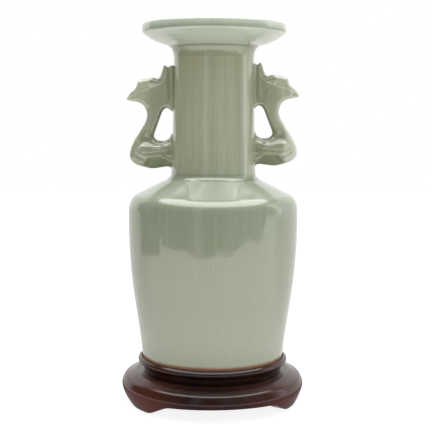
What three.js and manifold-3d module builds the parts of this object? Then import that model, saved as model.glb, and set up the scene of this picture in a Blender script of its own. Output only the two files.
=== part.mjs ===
// Celadon vase with two phoenix handles, on a round carved wooden stand.
// Millimetres, +Z up, origin on the floor under the middle of the stand.
// +X is the side of the right-hand handle, -Y faces the viewer.

import * as THREE from 'three';
import { mergeVertices } from 'three/addons/utils/BufferGeometryUtils.js';
import Module from 'manifold-3d';

const wasm = await Module();
wasm.setup();

// Fineness of the round shapes
const roundSegments = 56; // sides of the vase and the stand
const curveSteps = 5; // steps in each curved stretch of a profile

// Clearances between pieces
const luteGap = 0.3; // slip joint between a handle and the neck
const spigotGap = 0.3; // seat ring's spigot in the base
const boardGap = 0.3; // round board in its rebate
const footGap = 0.8; // vase foot inside the stand's lip

// Vase body, heights from the vase's own foot
const footRadius = 54.6; // outside of the foot ring
const footRingWidth = 7;
const footRecess = 4; // depth of the hollow under the floor
const floorThickness = 6;
const wallThickness = 4.2;
const bellyRadius = 65.3; // widest place of the body
const bellyHeight = 112.5; // height of the widest place
const shoulderRadius = 65.1; // corner of wall and shoulder, before it is rounded
const shoulderHeight = 127.5;
const shoulderSlope = THREE.MathUtils.degToRad(25.5);
const shoulderRounding = 8.2; // from the corner to where the rounding ends
const neckRounding = 5; // same at the foot of the neck

// Vase neck
const neckBaseRadius = 32.5;
const neckTopRadius = 30.65;
const neckLength = 87; // between the two luted joints

// Dish mouth
const mouthRadius = 54.9; // outside of the upright lip
const mouthHeight = 25.2; // from the upper luted joint to the top
const mouthCove = 9.8; // height of the hollow curve from neck to dish
const mouthCoveWidth = 6; // width of the same curve
const lipBandHeight = 6.9; // upright band of the lip
const lipRounding = 1.2;
const lipWidth = 4.3;
const dishDepth = 10.5; // from the top down to the dish's sloping floor

// Phoenix handles; the root line is the height where the breast ends at the neck
const handleRootRise = 3.5; // root line above the lower luted joint
const handleTopDrop = 3.1; // crest below the upper luted joint
const leftHandleDrop = 2.2; // the left handle was luted on a little lower
const leftHandleTilt = 1.5; // and leans outwards by this many degrees
const handleReach = 34.4; // beak's tip from the neck's wall
const webThickness = 5; // flat web that carries the whole outline
const throatRadius = 5;
const headLength = 19; // crown to the root of the beak
const headHeight = 14;
const wingThickness = 13; // wing and breast
const wingBevel = 2.6;
const ridgeRadius = 1.5; // feather ridges on the wing
const crestRidgeRadius = 1.1; // raised line from the crest to the beak
const eyeWidth = 3.8;

// Wooden stand, heights from the floor
const baseTopHeight = 23.2; // flat top of the base, under the waist
const baseTopRadius = 59.5; // outer edge of that flat
const baseRadius = 70.9; // widest place of the flange
const baseRadiusHeight = 13;
const flangeEdgeRadius = 66.2; // where the rounded side meets the sloping top
const flangeEdgeHeight = 20.6;
const footBottomRadius = 66; // outside of a foot on the floor
const baseFootWidth = 10; // radial width of a foot on the floor
const archHeight = 10.2; // apron's lower edge at mid arch
const archFall = 3.1; // drop of that edge towards the foot
const footCount = 3;
const firstFootAngle = -23.7; // degrees from +X, anticlockwise from above
const footHalfAngle = 4.5; // half of a foot's width on the floor, in degrees
const archBend = 0.58; // part of the half arch before its S-curve starts
const archSteps = 32;

// Seat ring and board
const waistHeight = 7.3; // from the base's top to the seat
const waistRadius = 55.2; // foot of the waist, which is hollowed above
const beadRadius = 58.2; // widest place of the lip's bead
const lipRise = 4.8; // lip above the seat
const lipFall = 1.7; // from the lip's inner edge down to its rounded outer edge
const rebateWidth = 4.2; // ledge that carries the board
const boardThickness = 4;
const seatWidth = 5.3; // flat seat under the vase's foot ring
const spigotWall = 6;
const spigotDepth = 6.2;

// Materials
const celadon = { color: 0x9da088, roughness: 0.22, metalness: 0 };
const darkWood = { color: 0x3b2822, roughness: 0.42, metalness: 0 };

// Places worked out from the sizes above
const seatHeight = baseTopHeight + waistHeight;
const innerLipRadius = footRadius + footGap;
const rebateRadius = innerLipRadius - seatWidth;
const spigotRadius = rebateRadius - rebateWidth + spigotWall;
const shoulderTan = Math.tan(shoulderSlope);
const neckCornerHeight = shoulderHeight + (shoulderRadius - neckBaseRadius) * shoulderTan;
const lowerJointHeight = neckCornerHeight + neckRounding * 0.8;
const upperJointHeight = lowerJointHeight + neckLength;
const mouthTop = upperJointHeight + mouthHeight;
const crestHeight = neckLength - handleRootRise - handleTopDrop; // above the root line

// A closed mesh as a solid that can be joined and cut
function toSolid(geometry) {
  const bare = geometry.clone();
  bare.deleteAttribute('normal');
  bare.deleteAttribute('uv');
  const merged = mergeVertices(bare, 1e-4);
  return new wasm.Manifold(new wasm.Mesh({
    numProp: 3,
    vertProperties: new Float32Array(merged.attributes.position.array),
    triVerts: new Uint32Array(merged.index.array),
  }));
}

// A joined or cut solid back as a mesh geometry
function toGeometry(solid) {
  const mesh = solid.getMesh();
  const geometry = new THREE.BufferGeometry();
  geometry.setAttribute('position', new THREE.BufferAttribute(mesh.vertProperties, 3));
  geometry.setIndex(new THREE.BufferAttribute(mesh.triVerts, 1));
  geometry.computeVertexNormals();
  return geometry;
}

// A profile of (radius, height) points turned about the upright axis
function turned(points) {
  return new THREE.LatheGeometry(points, roundSegments).rotateX(Math.PI / 2);
}

function named(name, geometry, finish) {
  const mesh = new THREE.Mesh(geometry, new THREE.MeshStandardMaterial(finish));
  mesh.name = name;
  return mesh;
}

// The body's wall from foot to lower joint, moved inwards by inset
function bodyCurve(inset) {
  const path = new THREE.Path();
  const corner = inset * Math.tan((Math.PI / 2 - shoulderSlope) / 2);
  const top = shoulderHeight - corner;
  const radius = shoulderRadius - inset;
  const belly = bellyRadius - inset;
  const run = shoulderRounding * Math.cos(shoulderSlope);
  const neck = neckBaseRadius - inset;
  const neckCorner = neckCornerHeight - corner;
  path.moveTo(footRadius - inset, 0);
  path.bezierCurveTo(
    footRadius + 3.1 - inset, bellyHeight * 0.365,
    belly, bellyHeight * 0.503,
    belly, bellyHeight,
  );
  path.lineTo(radius, top - shoulderRounding);
  path.quadraticCurveTo(radius, top, radius - run, top + run * shoulderTan);
  path.lineTo(neck + neckRounding, neckCorner - neckRounding * shoulderTan);
  path.quadraticCurveTo(neck, neckCorner, neck, lowerJointHeight);
  return path.getPoints(curveSteps);
}

function vaseBody() {
  const floorTop = footRecess + floorThickness;
  const ringInner = footRadius - footRingWidth;
  const inner = bodyCurve(wallThickness).filter((point) => point.y > floorTop + wallThickness);
  const floorEdge = inner[0].x - wallThickness;
  return turned([
    new THREE.Vector2(0, footRecess),
    new THREE.Vector2(ringInner - footRecess / 2, footRecess),
    new THREE.Vector2(ringInner, 0),
    ...bodyCurve(0),
    ...inner.reverse(),
    new THREE.Vector2(floorEdge, floorTop),
    new THREE.Vector2(0, floorTop),
  ]);
}

// The neck's outside, between the luted joints, moved outwards by outset
function neckCurve(outset) {
  const middle = lowerJointHeight + neckLength * 0.45;
  const path = new THREE.Path();
  path.moveTo(neckBaseRadius + outset, lowerJointHeight);
  path.quadraticCurveTo(
    neckTopRadius + 0.5 + outset, middle,
    neckTopRadius + outset, upperJointHeight,
  );
  return path.getPoints(curveSteps);
}

function vaseNeck() {
  const outer = neckCurve(0);
  const inner = neckCurve(-wallThickness).reverse();
  return turned([...outer, ...inner, outer[0].clone()]);
}

// Hollow curve out of the neck, dish, upright lip, then back down inside to the bore
function dishMouth() {
  const coveTop = upperJointHeight + mouthCove;
  const bandFoot = mouthTop - lipBandHeight;
  const lipInner = mouthRadius - lipWidth;
  const dishFloor = mouthTop - dishDepth;
  const bore = neckTopRadius - wallThickness;
  const outer = new THREE.Path();
  outer.moveTo(neckTopRadius, upperJointHeight);
  outer.quadraticCurveTo(
    neckTopRadius + 0.4, coveTop - 1.3,
    neckTopRadius + mouthCoveWidth, coveTop,
  );
  outer.quadraticCurveTo(mouthRadius - 9.8, coveTop + 1.9, mouthRadius - 2.6, bandFoot - 1.4);
  outer.quadraticCurveTo(mouthRadius, bandFoot + 0.1, mouthRadius, bandFoot + 2.2);
  outer.lineTo(mouthRadius, mouthTop - lipRounding);
  outer.quadraticCurveTo(mouthRadius, mouthTop, mouthRadius - lipRounding, mouthTop);
  const inner = new THREE.Path();
  inner.moveTo(lipInner + lipRounding * 0.2, mouthTop - lipRounding * 0.2);
  inner.quadraticCurveTo(lipInner, mouthTop - lipRounding * 0.3, lipInner, mouthTop - lipRounding);
  inner.quadraticCurveTo(lipInner - 1, dishFloor + 1.4, lipInner - 12, dishFloor);
  inner.lineTo(bore + 7, dishFloor - 1.6);
  inner.quadraticCurveTo(bore, dishFloor - 3, bore, upperJointHeight);
  return turned([
    ...outer.getPoints(curveSteps),
    ...inner.getPoints(curveSteps),
    new THREE.Vector2(neckTopRadius, upperJointHeight),
  ]);
}

// A place on the handle, in hundredths of its reach (across) and of its crest height (up)
function onHandle(x, y) {
  return new THREE.Vector2(x * handleReach / 100, y * crestHeight / 100);
}

// A drawing in the same hundredths, brought to size
function toSize(drawing) {
  const points = drawing.getPoints(2).map(({ x, y }) => onHandle(x, y));
  return new THREE.Shape(points);
}

// Outline of the whole bird, x outwards from the neck, y upwards from the root line:
// breast, throat, beak, brow, cap, crest, then down the neck side round the gap
function birdOutline() {
  const at = (x, y) => new THREE.Vector2(x, y);
  const shape = new THREE.Shape();
  shape.moveTo(-11.6, 1.2);
  shape.lineTo(0.9, 0);
  shape.splineThru([at(7, 3.6), at(24.1, 3.4), at(46.2, 2.2), at(68.3, 4.4), at(92.2, 9)]);
  shape.splineThru([at(95.9, 17), at(84.6, 29.9), at(67.4, 40.8), at(56.4, 51), at(60.2, 61.4)]);
  shape.splineThru([at(74.7, 65.8), at(91.9, 67.3), at(100, 68.8)]);
  shape.splineThru([at(91.6, 74.1), at(78.8, 79.2), at(74.4, 84.8)]);
  shape.splineThru([at(66, 86.9), at(40.4, 88.6), at(27.9, 87.6)]);
  shape.splineThru([at(20.9, 91.7), at(17.4, 96), at(11.6, 100)]);
  shape.lineTo(5.5, 98.3);
  shape.lineTo(0.6, 99.8);
  shape.lineTo(-11.6, 99.8);
  shape.lineTo(-11.6, 56);
  shape.lineTo(1.7, 56);
  shape.splineThru([at(11, 59.2), at(21.5, 55.2), at(30.2, 45.8), at(39, 36.4)]);
  shape.splineThru([at(38.4, 31), at(22.7, 28.5), at(6.7, 30.5), at(1.2, 35.4)]);
  shape.lineTo(-11.6, 35.4);
  return toSize(shape);
}

// Outline of the folded wing and breast, thicker than the throat
function wingOutline() {
  const at = (x, y) => new THREE.Vector2(x, y);
  const shape = new THREE.Shape();
  shape.moveTo(-11.6, 7.5);
  shape.lineTo(11.6, 6.2);
  shape.splineThru([at(54.7, 3.7), at(83.1, 8), at(94.2, 14.9), at(87.8, 24.3), at(70.9, 32.3)]);
  shape.splineThru([at(43.6, 28.4), at(20.3, 26.1), at(0, 26.9)]);
  shape.lineTo(-11.6, 26.9);
  return toSize(shape);
}

// A flat outline given thickness, with bevelled edges if bevel is more than 0, in the XZ plane
function plate(shape, thickness, bevel) {
  const geometry = new THREE.ExtrudeGeometry(shape, {
    depth: thickness - 2 * bevel,
    bevelEnabled: bevel > 0,
    bevelSize: bevel,
    bevelThickness: bevel,
    bevelOffset: -bevel,
    bevelSegments: 2,
    curveSegments: 2,
  });
  geometry.translate(0, 0, bevel - thickness / 2);
  return geometry.rotateX(Math.PI / 2);
}

// A round bar along places on the handle, in the plane at the given depth
function bar(points, radius, depth) {
  const places = points.map(([x, z]) => onHandle(x, z));
  const line = places.map((place) => new THREE.Vector3(place.x, depth, place.y));
  const section = new THREE.Shape().absarc(0, 0, radius, 0, 2 * Math.PI);
  return new THREE.ExtrudeGeometry(section, {
    extrudePath: new THREE.CatmullRomCurve3(line),
    steps: 2 * points.length,
    curveSegments: 3,
    bevelEnabled: false,
  });
}

// An egg shape of the given sizes; its centre's x and z are places on the handle
function egg(length, depth, height, x, y, z) {
  const geometry = new THREE.SphereGeometry(0.5, 16, 10);
  geometry.scale(length, depth, height);
  const middle = onHandle(x, z);
  geometry.translate(middle.x, y, middle.y);
  return geometry;
}

// One bird, joined from its web, wing, throat, head, ridges and eyes, reaching into the neck
function rawHandle() {
  const throatLine = [[61, 27.4], [56.1, 35.4], [44.2, 46], [40.4, 53.5], [43.6, 62.2], [53.8, 72.1]];
  const crestLine = [[9.9, 98.3], [8.7, 91.7], [14.8, 86.3], [32, 80.6], [53.2, 77.4], [73, 75.5]];
  const feathers = [
    [[9.9, 24.3], [34.9, 21.9], [56.4, 24.1], [75.3, 21.9]],
    [[11.6, 19.9], [29.9, 19.4], [50.6, 18.2], [74.4, 18.9]],
    [[7.8, 10], [25.3, 14.1], [52.3, 13.6], [75, 15.7]],
  ];
  const pieces = [
    plate(birdOutline(), webThickness, 0),
    plate(wingOutline(), wingThickness, wingBevel),
    bar(throatLine, throatRadius, 0),
    egg(headLength, 2 * throatRadius, headHeight, 56.7, 0, 74),
  ];
  for (const side of [-1, 1]) {
    for (const feather of feathers) {
      pieces.push(bar(feather, ridgeRadius, side * (wingThickness / 2 - 0.6)));
    }
    pieces.push(bar(crestLine, crestRidgeRadius, side * webThickness / 2));
    pieces.push(egg(eyeWidth, eyeWidth, eyeWidth, 46.5, side * (throatRadius - 1.6), 77.1));
  }
  return pieces.map(toSolid).reduce((bird, piece) => bird.add(piece));
}

// A handle set against the neck: leaned out, lowered, and cut to the neck's wall
function handle(name, side, drop, tilt) {
  const root = lowerJointHeight + handleRootRise - drop;
  const reach = neckTopRadius + 0.55;
  const neckSolid = toSolid(turned([
    new THREE.Vector2(0, lowerJointHeight - drop),
    ...neckCurve(luteGap),
    new THREE.Vector2(0, upperJointHeight),
  ]));
  const leaning = rawHandle().rotate([0, tilt, 0]);
  const placed = leaning.translate([reach, 0, root]);
  const cut = placed.subtract(neckSolid);
  const turn = side > 0 ? cut : cut.rotate([0, 0, 180]);
  return named(name, toGeometry(turn), celadon);
}

function seatRing() {
  const lipTop = seatHeight + lipRise;
  const path = new THREE.Path();
  path.moveTo(spigotRadius - spigotWall, baseTopHeight - spigotDepth);
  path.lineTo(spigotRadius, baseTopHeight - spigotDepth);
  path.lineTo(spigotRadius, baseTopHeight);
  path.lineTo(waistRadius, baseTopHeight);
  path.quadraticCurveTo(waistRadius - 1, seatHeight - 1.9, beadRadius - 0.1, seatHeight - 0.3);
  path.quadraticCurveTo(beadRadius + 0.5, lipTop - 2.4, beadRadius - 0.6, lipTop - lipFall);
  path.lineTo(innerLipRadius + 0.3, lipTop);
  path.lineTo(innerLipRadius, lipTop - 0.3);
  path.lineTo(innerLipRadius, seatHeight);
  path.lineTo(rebateRadius, seatHeight);
  path.lineTo(rebateRadius, seatHeight - boardThickness);
  path.lineTo(spigotRadius - spigotWall, seatHeight - boardThickness);
  path.lineTo(spigotRadius - spigotWall, baseTopHeight - spigotDepth);
  return turned(path.getPoints(curveSteps));
}

function seatBoard() {
  const radius = rebateRadius - boardGap;
  const bottom = seatHeight - boardThickness;
  return turned([
    new THREE.Vector2(0, bottom),
    new THREE.Vector2(radius, bottom),
    new THREE.Vector2(radius, seatHeight),
    new THREE.Vector2(0, seatHeight),
  ]);
}

// Height of the apron's lower edge, u from -1 to 1 across one arch
function archTop(u) {
  const t = THREE.MathUtils.smoothstep(Math.abs(u), archBend, 1);
  const edge = archHeight - archFall * u * u;
  return edge * (1 - t) - 0.5 * t;
}

// The space under one arch: a box bent round the axis, its top following archTop
function archCutter(middleAngle) {
  const halfArch = 180 / footCount - footHalfAngle;
  const geometry = new THREE.BoxGeometry(2, 1, 1, archSteps, 1, 1);
  const position = geometry.attributes.position;
  for (let i = 0; i < position.count; i += 1) {
    const u = position.getX(i);
    const angle = THREE.MathUtils.degToRad(middleAngle + u * halfArch);
    const height = position.getY(i) > 0 ? archTop(u) : -5;
    const radius = baseRadius + (position.getZ(i) > 0 ? 10 : -40);
    position.setXYZ(i, radius * Math.cos(angle), radius * Math.sin(angle), height);
  }
  return toSolid(geometry);
}

// Flange, apron and feet in one turned ring, with three arches sawn out
function standBase() {
  const inner = spigotRadius + spigotGap;
  const path = new THREE.Path();
  path.moveTo(footBottomRadius - baseFootWidth, 0);
  path.lineTo(footBottomRadius, 0);
  path.quadraticCurveTo(baseRadius, baseRadiusHeight * 0.78, baseRadius, baseRadiusHeight);
  path.quadraticCurveTo(
    baseRadius, flangeEdgeHeight - 2.4,
    flangeEdgeRadius, flangeEdgeHeight,
  );
  path.lineTo(baseTopRadius, baseTopHeight);
  path.lineTo(inner, baseTopHeight);
  path.lineTo(inner, archHeight + 3);
  path.lineTo(footBottomRadius - baseFootWidth, 0);
  let solid = toSolid(turned(path.getPoints(curveSteps)));
  for (let foot = 0; foot < footCount; foot += 1) {
    const middle = firstFootAngle + (foot + 0.5) * 360 / footCount;
    solid = solid.subtract(archCutter(middle));
  }
  return toGeometry(solid);
}

// The assembly
const vase = new THREE.Group();
vase.position.z = seatHeight;
vase.add(named('vase_body', vaseBody(), celadon));
vase.add(named('vase_neck', vaseNeck(), celadon));
vase.add(named('dish_mouth', dishMouth(), celadon));
vase.add(handle('phoenix_handle_right', 1, 0, 0));
vase.add(handle('phoenix_handle_left', -1, leftHandleDrop, leftHandleTilt));

const stand = new THREE.Group();
stand.add(named('stand_seat_ring', seatRing(), darkWood));
stand.add(named('stand_panel', seatBoard(), darkWood));
stand.add(named('stand_base', standBase(), darkWood));

const group = new THREE.Group();
group.add(vase, stand);

export default group;
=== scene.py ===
import math

import bmesh
import bpy
import numpy as np
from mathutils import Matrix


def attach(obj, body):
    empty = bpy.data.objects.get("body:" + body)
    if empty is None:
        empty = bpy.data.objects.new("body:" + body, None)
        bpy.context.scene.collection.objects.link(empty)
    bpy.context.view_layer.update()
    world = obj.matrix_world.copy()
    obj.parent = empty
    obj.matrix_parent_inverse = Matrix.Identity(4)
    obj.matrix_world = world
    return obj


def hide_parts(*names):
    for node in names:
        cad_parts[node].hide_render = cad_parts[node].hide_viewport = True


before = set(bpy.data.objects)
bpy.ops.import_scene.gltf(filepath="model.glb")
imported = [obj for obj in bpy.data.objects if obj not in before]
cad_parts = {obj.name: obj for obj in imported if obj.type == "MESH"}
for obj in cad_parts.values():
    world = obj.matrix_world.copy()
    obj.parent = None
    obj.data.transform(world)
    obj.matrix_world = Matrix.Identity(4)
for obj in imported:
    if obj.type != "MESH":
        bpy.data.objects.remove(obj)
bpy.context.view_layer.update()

print("frame loaded")

scene = bpy.context.scene
mm = 0.001
sharpAngle = 40  # degrees; turned clay is shaded smooth up to here

# The photograph's viewpoint, worked out from the ellipses of the mouth, shoulder and stand
cameraPlace = {
    "x": 1.8 * mm,
    "distance": 726.63 * mm,  # in front of the vase's axis
    "height": 217.18 * mm,
    "pitchDown": 0.101138,  # radians
    "roll": -0.3,  # degrees
    "lens": 78.3,
}


# Small helpers

# sRGB hex to linear light: a power curve of 2.4 above a short straight part
def linearColour(hexText):
    channels = np.array([int(hexText[i:i + 2], 16) for i in (0, 2, 4)]) / 255
    linear = np.where(channels <= 0.04045, channels / 12.92, ((channels + 0.055) / 1.055) ** 2.4)
    return (*linear.tolist(), 1.0)


# One node with its settings; each input is a value or the socket that feeds it
def addNode(tree, kind, settings=None, inputs=None):
    node = tree.nodes.new("ShaderNode" + kind)
    for name, value in (settings or {}).items():
        setattr(node, name, value)
    for name, value in (inputs or {}).items():
        if isinstance(value, bpy.types.NodeSocket):
            tree.links.new(value, node.inputs[name])
        else:
            node.inputs[name].default_value = value
    return node


def newMaterial(name):
    material = bpy.data.materials.new(name)
    material.use_nodes = True
    material.node_tree.nodes.clear()
    return material, material.node_tree


def finishMaterial(tree, surface):
    addNode(tree, "OutputMaterial", inputs={"Surface": surface})


# Bezier curve of degree 2 or 3: control points weighted by the binomial shares of t and 1 - t
def bezier(controls, steps):
    controls = np.array(controls, float)
    degree = len(controls) - 1
    t = np.linspace(0, 1, steps + 1)[:, None]
    shares = [math.comb(degree, k) * t ** k * (1 - t) ** (degree - k) for k in range(degree + 1)]
    return sum(share * point for share, point in zip(shares, controls))


# Curves end to end, each shared point kept once
def joinCurves(*curves):
    points = np.vstack([np.atleast_2d(curve) for curve in curves])
    moved = np.linalg.norm(np.diff(points, axis=0), axis=1) > 1e-6
    return points[np.concatenate([[True], moved])]


# Extra points so that no straight part of a profile is longer than step; smooth shading then
# keeps close to each arris
def densify(profile, step):
    lengths = np.linalg.norm(np.diff(profile, axis=0), axis=1)
    counts = np.maximum(1, np.ceil(lengths / step).astype(int))
    parts = [np.linspace(a, b, n, endpoint=False) for a, b, n in zip(profile[:-1], profile[1:], counts)]
    return np.vstack(parts + [profile[-1:]])


# Open curve through points: Catmull-Rom pieces, each tangent half the step between its neighbours
def throughPoints(points, steps):
    p = np.array(points, float)
    ends = np.vstack([2 * p[0] - p[1], p, 2 * p[-1] - p[-2]])
    a, b, c, d = (ends[k:k + len(p) - 1, None] for k in range(4))
    t = np.linspace(0, 1, steps, endpoint=False)[None, :, None]
    curve = 0.5 * (2 * b + (c - a) * t + (2 * a - 5 * b + 4 * c - d) * t ** 2
                   + (3 * b - a - 3 * c + d) * t ** 3)
    return np.vstack([curve.reshape(-1, p.shape[1]), p[-1]])


# Bell curve: e to the power of minus (distance / width) squared
def bump(distance, width):
    return np.exp(-(distance / width) ** 2)


# The same bell over a place, given by its middle, half width and half height
def patch(x, z, middleX, middleZ, width, height):
    return bump(np.hypot((x - middleX) / width, (z - middleZ) / height), 1.0)


# Rises smoothly from 0 at low to 1 at high, or falls where low is the larger
def smoothStep(value, low, high):
    share = np.clip((value - low) / (high - low), 0, 1)
    return share * share * (3 - 2 * share)


# The same, from 0 at start to strength at end
def ramp(value, start, end, strength):
    return strength * smoothStep(value, start, end)


# Rises from 0 at begins to 1 at full, and falls from 1 at fades to 0 at ends
def window(value, begins, full, fades, ends):
    return smoothStep(value, begins, full) * (1 - smoothStep(value, fades, ends))


# A grid of points (rows, columns, 3) in metres as an object: columns run round, and so do rows if
# wanted; otherwise they may be closed by caps
def gridObject(name, points, material, attributes, rowsRound=False, capped=False):
    index = np.arange(points.size // 3).reshape(points.shape[:2])
    lower = index if rowsRound else index[:-1]
    upper = np.roll(index, -1, axis=0) if rowsRound else index[1:]
    quads = np.stack([lower, np.roll(lower, -1, axis=1), np.roll(upper, -1, axis=1), upper], axis=-1)
    caps = [index[0, ::-1].tolist(), index[-1].tolist()] if capped else []
    mesh = bpy.data.meshes.new(name)
    mesh.from_pydata(points.reshape(-1, 3).tolist(), [], quads.reshape(-1, 4).tolist() + caps)
    for title, values in attributes.items():
        layer = mesh.attributes.new(title, "FLOAT", "POINT")
        values = np.broadcast_to(values, points.shape[:2]).astype(float)
        layer.data.foreach_set("value", values.reshape(-1))
    mesh.materials.append(material)
    piece = bpy.data.objects.new(name, mesh)
    scene.collection.objects.link(piece)
    return piece


# A closed piece from a grid in mm. Points that fall together, as at a pole, become one.
def gridMesh(name, points, node, finish, attributes=None, rowsRound=False, sharp=None):
    body, slot, material = finish
    piece = gridObject(name, points * mm, material, attributes or {}, rowsRound, not rowsRound)
    mesh = piece.data
    work = bmesh.new()
    work.from_mesh(mesh)
    bmesh.ops.remove_doubles(work, verts=work.verts, dist=1e-6)
    bmesh.ops.recalc_face_normals(work, faces=work.faces)
    work.to_mesh(mesh)
    work.free()
    mesh.shade_smooth()
    if sharp:
        mesh.set_sharp_from_angle(angle=math.radians(sharp))
    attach(piece, body)
    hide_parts(node)
    print(name, "made,", len(mesh.polygons), "faces")


# Surface of revolution: x = r cos a, y = r sin a, and z from the closed profile (r, z)
def turnedGrid(profile, turns):
    angle = np.linspace(0, 2 * math.pi, turns, endpoint=False)
    radius, height = profile[:, 0], profile[:, 1]
    x = radius[:, None] * np.cos(angle)
    y = radius[:, None] * np.sin(angle)
    return np.stack([x, y, np.repeat(height[:, None], turns, axis=1)], axis=-1)


# Celadon: iron-bearing glaze, dipped thickly over grey stoneware and fired in reduction.
# It gives the eye a soft grey-green with slow cloudy changes, a deep wet gloss, paler and
# browner ridges where the glaze ran thin, and greener hollows where it pooled.
# The thin and pooled colours also carry painted light: painted highlights take the thin colour, painted
# shade the pooled one.
celadonLook = {
    "main": "838c71",
    "cloud": "899278",
    "thinAndLit": "c2cbb7",
    "thinBrown": "a59f73",
    "pooledAndShaded": "6d7a60",
    "bareClay": "80593a",  # unglazed foot, burnt red-brown
    "tanLine": "90845c",  # where the glaze ends
    "cloudSize": 38.0,  # mm
    "grainSize": 0.8,  # mm, drawn coarser than the real pinholes so that they show
    "grainShare": 0.12,  # how far the grain lightens and darkens the colour
    "runWidth": 1.6,  # mm, fine streaks where the glaze ran down before it set
    "runSlimness": 0.04,  # width of a run against its length
    "runRelief": 0.2,
    "runsGrow": (90.0, 165.0),  # mm above the floor; below, the glaze lies more evenly
    "runsBelow": 0.2,  # share of the runs that is left there
    "throwingLines": 5.5,  # mm between the soft rings left by the potter's fingers
    "ringSlimness": 0.12,  # and their width against their length
    "swellSize": 16.0,  # mm, unevenness of the dipped glaze
    "ringBump": (0.1, 0.25),  # strength and depth in mm, as in the next two
    "swellBump": (0.25, 0.5),
    "grainBump": (0.05, 0.04),
    "hazeRoughness": 0.5,  # bubbles under the gloss scatter a soft sheen
    "bareRoughness": 0.7,
    "glossRoughness": 0.08,
    "ior": 1.6,
    "glazeEnd": 36.4,  # mm above the floor
    "endWave": (22.0, 1.6),  # mm, length and height of the waves in that line
    "tanBand": (3.2, 1.4),  # mm above glazeEnd: no tan, full tan
    "bareBand": (1.9, 1.0),
}


def celadonGlaze():
    look = celadonLook
    material, tree = newMaterial("celadonGlaze")
    place = addNode(tree, "TexCoord").outputs["Object"]
    height = addNode(tree, "SeparateXYZ", inputs={"Vector": place}).outputs["Z"]
    # Relief: thin and pooled glaze, together with painted highlights and painted shade
    relief = addNode(tree, "Attribute", {"attribute_name": "glazeReliefAndPaintedLight"}).outputs["Fac"]
    brown = addNode(tree, "Attribute", {"attribute_name": "brownTone"}).outputs["Fac"]
    # Noise drawn out in height gives the runs, and drawn out round the vase the throwing rings
    slim, low = look["runSlimness"], look["ringSlimness"]
    upright, flat = (
        addNode(tree, "Mapping", inputs={"Vector": place, "Scale": scale}).outputs["Vector"]
        for scale in ((1.0, 1.0, slim), (low, low, 1.0)))
    waveLength, waveHeight = look["endWave"]
    cloud, grain, runs, wave, rings, swell = (
        addNode(tree, "TexNoise", inputs={
            "Vector": vector, "Scale": 1 / (length * mm), "Detail": detail}).outputs["Fac"]
        for vector, length, detail in (
            (place, look["cloudSize"], 3.0), (place, look["grainSize"], 1.0),
            (upright, look["runWidth"], 2.0), (place, waveLength, 1.0),
            (flat, look["throwingLines"], 1.0), (place, look["swellSize"], 2.0)))
    # The runs are added to the relief
    runShare = addNode(tree, "MapRange", inputs={
        "Value": runs, "To Min": -look["runRelief"], "To Max": look["runRelief"]}).outputs["Result"]
    runFade = addNode(tree, "MapRange", inputs={
        "Value": height, "From Min": look["runsGrow"][0] * mm, "From Max": look["runsGrow"][1] * mm,
        "To Min": look["runsBelow"]}).outputs["Result"]
    thickness = addNode(tree, "Math", {"operation": "MULTIPLY_ADD"}, {
        0: runShare, 1: runFade, 2: relief}).outputs[0]
    thinAndLitPart = addNode(tree, "Math", {"operation": "MAXIMUM", "use_clamp": True}, {
        0: thickness, 1: 0.0}).outputs[0]
    pooledAndShadedPart = addNode(tree, "Math", {"operation": "MULTIPLY", "use_clamp": True}, {
        0: thickness, 1: -1.0}).outputs[0]
    colour = linearColour(look["main"])
    for share, other in ((cloud, "cloud"), (pooledAndShadedPart, "pooledAndShaded"), (thinAndLitPart, "thinAndLit"), (brown, "thinBrown")):
        colour = addNode(tree, "Mix", {"data_type": "RGBA"}, {
            "Factor": share, "A": colour, "B": linearColour(look[other])}).outputs["Result"]
    # Pinholes and fine bubbles lighten and darken the colour a little
    grey = addNode(tree, "CombineColor", inputs={
        "Red": grain, "Green": grain, "Blue": grain}).outputs["Color"]
    colour = addNode(tree, "Mix", {"data_type": "RGBA", "blend_type": "OVERLAY"}, {
        "Factor": look["grainShare"], "A": colour, "B": grey}).outputs["Result"]
    # The glaze stops at a slightly wavy line above the foot
    waved = addNode(tree, "Math", {"operation": "MULTIPLY_ADD"}, {
        0: wave, 1: waveHeight * mm, 2: height}).outputs[0]
    tanPart, barePart = (
        addNode(tree, "MapRange", {"interpolation_type": "SMOOTHSTEP"}, {
            "Value": waved, "From Min": (look["glazeEnd"] + band[0]) * mm,
            "From Max": (look["glazeEnd"] + band[1]) * mm}).outputs["Result"]
        for band in (look["tanBand"], look["bareBand"]))
    for share, other in ((tanPart, "tanLine"), (barePart, "bareClay")):
        colour = addNode(tree, "Mix", {"data_type": "RGBA"}, {
            "Factor": share, "A": colour, "B": linearColour(look[other])}).outputs["Result"]
    roughness = addNode(tree, "MapRange", inputs={
        "Value": barePart, "To Min": look["hazeRoughness"], "To Max": look["bareRoughness"]})
    gloss = addNode(tree, "Math", {"operation": "SUBTRACT"}, {0: 1.0, 1: barePart}).outputs[0]
    # Soft throwing rings, unevenness of the dipped glaze, and the pinholes
    normal = {}
    for bumpHeight, bumpName in ((rings, "ringBump"), (swell, "swellBump"), (grain, "grainBump")):
        strength, depth = look[bumpName]
        bumped = addNode(tree, "Bump", inputs={
            "Height": bumpHeight, "Strength": strength, "Distance": depth * mm, **normal})
        normal = {"Normal": bumped.outputs["Normal"]}
    shader = addNode(tree, "BsdfPrincipled", inputs={
        "Base Color": colour,
        "Roughness": roughness.outputs["Result"],
        "IOR": look["ior"],
        "Coat Weight": gloss,
        "Coat Roughness": look["glossRoughness"],
        "Coat IOR": look["ior"],
        "Coat Normal": normal["Normal"],
        "Normal": normal["Normal"]})
    finishMaterial(tree, shader.outputs["BSDF"])
    return material


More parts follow.
